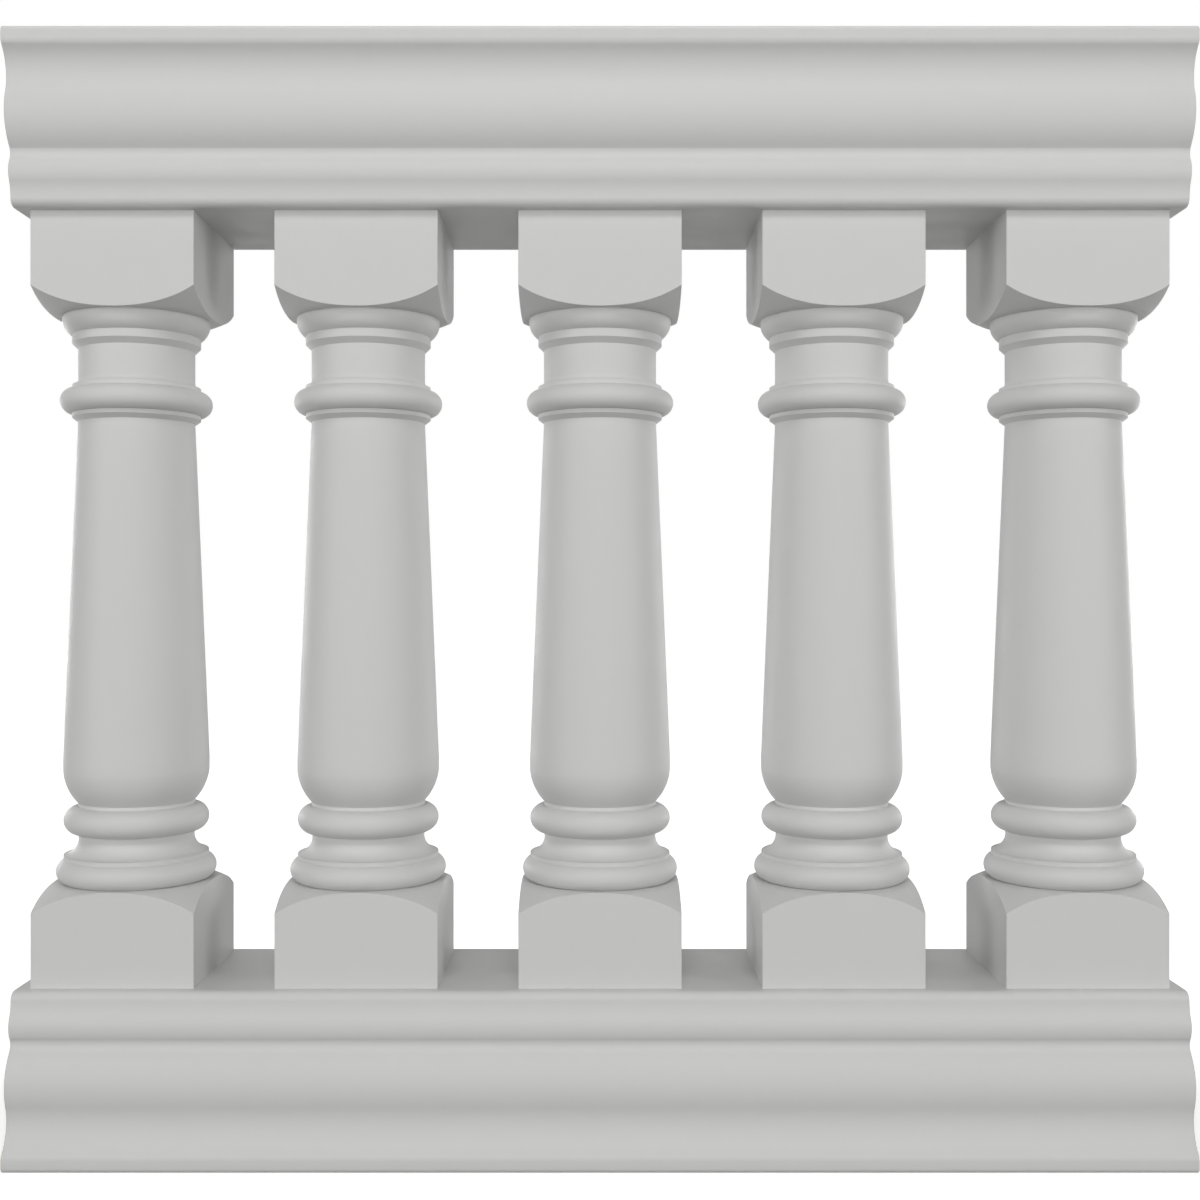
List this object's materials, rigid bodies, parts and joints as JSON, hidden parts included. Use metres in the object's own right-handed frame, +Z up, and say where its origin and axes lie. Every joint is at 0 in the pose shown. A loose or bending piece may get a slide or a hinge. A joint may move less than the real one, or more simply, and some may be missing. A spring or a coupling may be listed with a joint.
{
  "type": "fiberglass balustrade section",
  "caption": "Straight balustrade section: moulded hollow top and bottom rails joined by a row of turned balusters with square blocks and internal tie rods.",
  "frame": {"origin": "under the middle of the bottom rail, on the surface it stands on", "axes": "+X along the rails to the right seen from the front, +Y from front to back, +Z up"},
  "size_m": [0.9144, 0.189, 0.8763],
  "materials": {
    "moulded_frp": "pale neutral gel-coat over glass-fibre laminate, satin, moulded smooth",
    "galvanised_steel": "hot-dip galvanised, dull grey with a faint spangle",
    "plated_steel": "zinc-plated rod and washers, dull silver"
  },
  "bodies": {
    "root": {"top_rail": "moulded_frp", "top_rail_soffit": "moulded_frp", "top_rail_tube": "galvanised_steel", "bottom_rail": "moulded_frp", "bottom_rail_deck": "moulded_frp", "bottom_rail_tube": "galvanised_steel", "baluster_1": "moulded_frp", "baluster_2": "moulded_frp", "baluster_3": "moulded_frp", "baluster_4": "moulded_frp", "baluster_5": "moulded_frp", "tie_rod_1": "plated_steel", "tie_rod_2": "plated_steel", "tie_rod_3": "plated_steel", "tie_rod_4": "plated_steel", "tie_rod_5": "plated_steel", "top_washer_1": "plated_steel", "top_washer_2": "plated_steel", "top_washer_3": "plated_steel", "top_washer_4": "plated_steel", "top_washer_5": "plated_steel", "bottom_washer_1": "plated_steel", "bottom_washer_2": "plated_steel", "bottom_washer_3": "plated_steel", "bottom_washer_4": "plated_steel", "bottom_washer_5": "plated_steel"}
  },
  "joints": []
}
